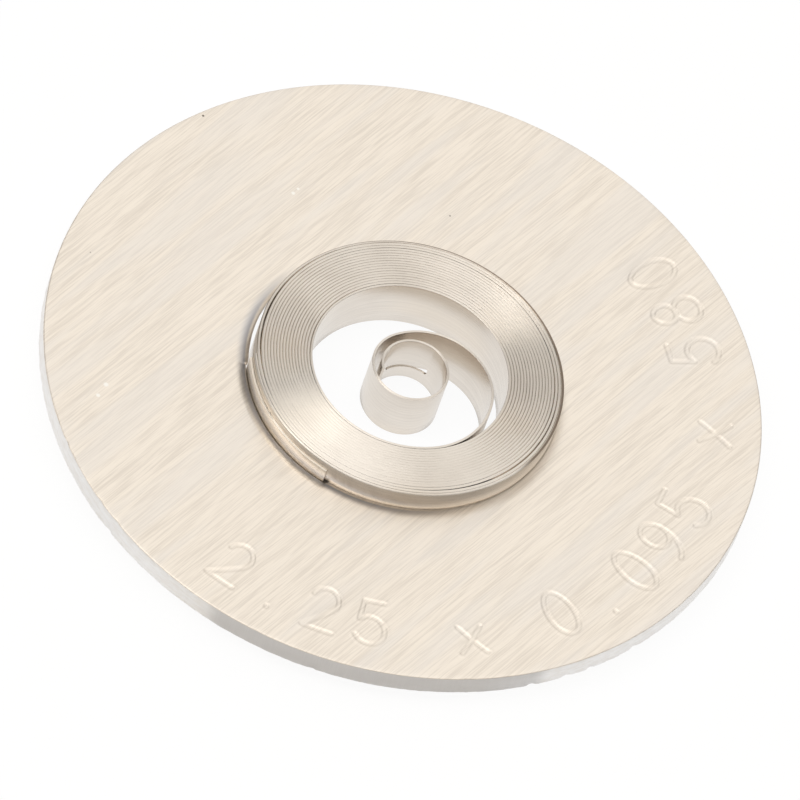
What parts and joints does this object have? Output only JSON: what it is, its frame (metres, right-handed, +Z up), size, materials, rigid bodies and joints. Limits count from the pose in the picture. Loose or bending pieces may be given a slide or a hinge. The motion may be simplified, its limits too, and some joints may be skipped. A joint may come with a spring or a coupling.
{
  "type": "watch mainspring",
  "caption": "Flat spiral watch mainspring wound up in the hole of a round loading washer, with an eye for the arbor at its inner end and a short bridle at its outer end.",
  "frame": {"origin": "centre of the washer, on the plane of the coil's lower edges, which is what the part rests on", "axes": "+Z up, along the axis of the coil, out of the face on which the coil stands proud further; +X and +Y in the plane of the washer, with the strip's outer end near -X"},
  "size_m": [0.028, 0.028, 0.0023],
  "materials": {
    "brushed_aluminium": "brushed",
    "spring_steel": "polished"
  },
  "bodies": {
    "root": {"loading_washer": "brushed_aluminium", "mainspring": "spring_steel", "bridle": "spring_steel"}
  },
  "joints": []
}
